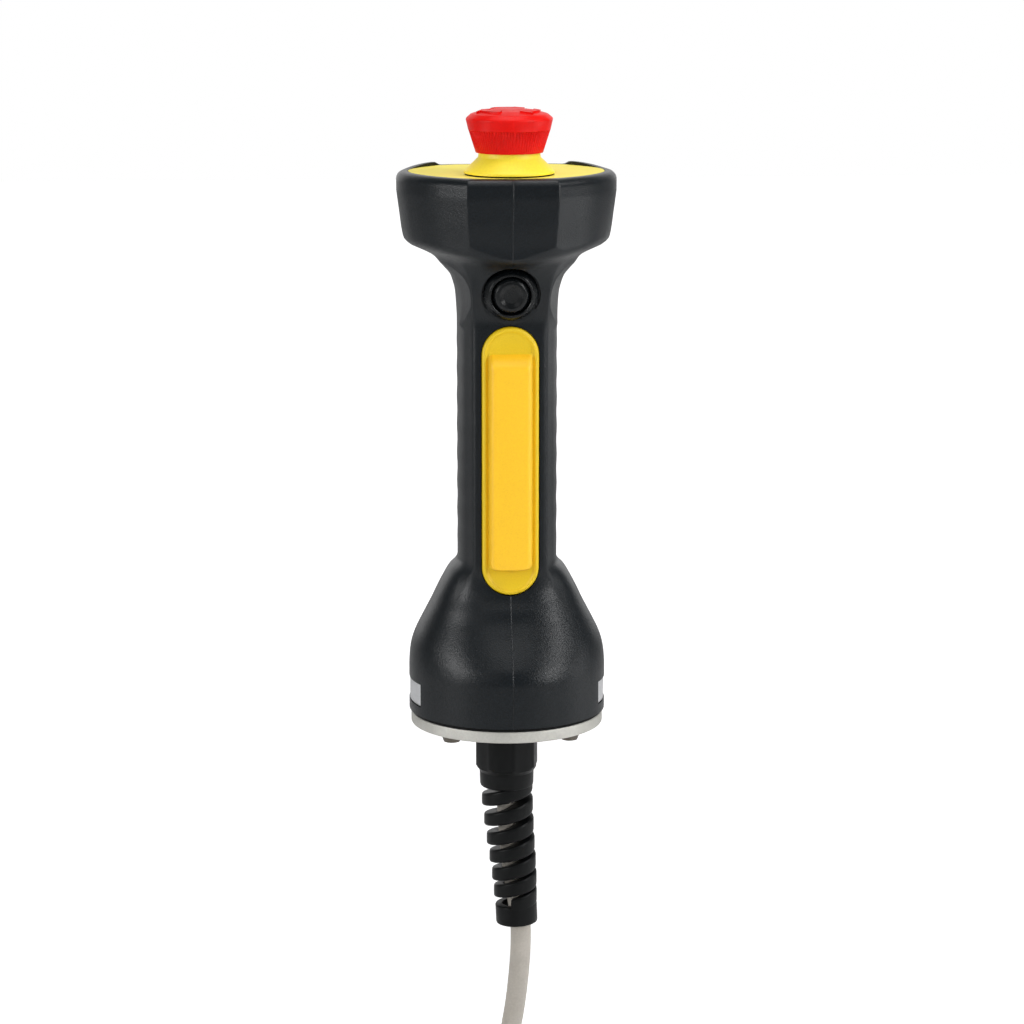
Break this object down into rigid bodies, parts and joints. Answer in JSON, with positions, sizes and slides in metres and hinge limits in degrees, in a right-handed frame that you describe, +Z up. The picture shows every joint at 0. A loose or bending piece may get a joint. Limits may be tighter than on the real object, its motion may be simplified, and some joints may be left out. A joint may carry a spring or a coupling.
{
  "type": "enabling switch",
  "caption": "Hand-held enabling switch: waisted two-half grip, sprung trigger bar, mushroom emergency stop, push-button and a coiled cable with a round screw connector.",
  "frame": {"origin": "on the grip's axis at half the height of the trigger bar", "axes": "+Z up along the grip towards the emergency stop, -Y towards the trigger, +X to the viewer's right"},
  "size_m": [0.1361, 0.1553, 0.4028],
  "materials": {
    "housing": "fine grain",
    "yellow_plate": "matt",
    "yellow_collar": "satin",
    "yellow_rubber": "matt",
    "amber_bar": "satin",
    "red_knob": "satin",
    "black_plastic": "satin",
    "black_rubber": "matt",
    "steel": "satin",
    "base_metal": "bead blasted",
    "label_metal": "satin",
    "board": "lacquer",
    "copper": "bare",
    "cord_sheath": "matt sheath",
    "nickel": "nickel plated"
  },
  "bodies": {
    "housing": {"housing_left": "housing", "housing_right": "housing", "housing_screws": "steel", "top_plate": "yellow_plate", "estop_collar": "yellow_collar", "estop_seal": "black_rubber", "estop_barrel": "black_plastic", "estop_nut": "black_plastic", "estop_contacts": "black_plastic", "estop_spring": "steel", "button_bezel": "black_plastic", "button_nut": "black_plastic", "button_switch": "black_plastic", "trigger_boot": "yellow_rubber", "enable_switch_upper": "black_plastic", "enable_switch_lower": "black_plastic", "switch_carrier": "black_plastic", "carrier_screws": "steel", "circuit_board": "board", "board_screws": "steel", "terminal_block": "board", "core_wires": "copper", "base_gasket": "black_rubber", "base_plate": "base_metal", "base_screws": "steel", "side_plates": "label_metal", "gland_sleeve": "black_plastic", "gland_washer": "black_rubber", "gland_seal": "black_rubber", "gland_spiral": "black_plastic", "cord_lead": "cord_sheath", "cord_coil": "cord_sheath", "cord_tie": "black_plastic", "cord_tail": "cord_sheath", "plug_clamp": "black_plastic", "plug_body": "black_plastic", "plug_insert": "black_plastic", "plug_contacts": "copper"},
    "trigger": {"trigger_bar": "amber_bar", "trigger_paddle": "black_plastic", "switch_plungers": "amber_bar"},
    "button": {"push_button": "black_plastic"},
    "estop_plunger": {"estop_stem": "black_plastic"},
    "estop_head": {"estop_knob": "red_knob"},
    "coupling": {"plug_nut": "nickel"}
  },
  "joints": [
    {"name": "trigger_press", "type": "slide", "parent": "housing", "child": "trigger", "axis": [0, 1, 0], "range_m": [0, 0.0045], "stiffness_N_per_m": 3000, "springref_m": -0.001},
    {"name": "button_press", "type": "slide", "parent": "housing", "child": "button", "axis": [0, 0.9613, 0.2756], "range_m": [0, 0.0018], "stiffness_N_per_m": 2500, "springref_m": -0.0005},
    {"name": "estop_press", "type": "slide", "parent": "housing", "child": "estop_plunger", "axis": [0, 0, -1], "range_m": [0, 0.002], "stiffness_N_per_m": 10000, "springref_m": -0.0005, "deforming": ["estop_spring"]},
    {"name": "estop_twist", "type": "hinge", "parent": "estop_plunger", "child": "estop_head", "pos_m": [0, -0.0145, 0.112], "axis": [0, 0, 1], "range_deg": [0, 45], "stiffness_Nm_per_rad": 0.05},
    {"name": "coupling_turn", "type": "hinge", "parent": "housing", "child": "coupling", "pos_m": [-0.005, -0.1036, -0.2344], "axis": [1, 0, 0], "continuous": true}
  ]
}
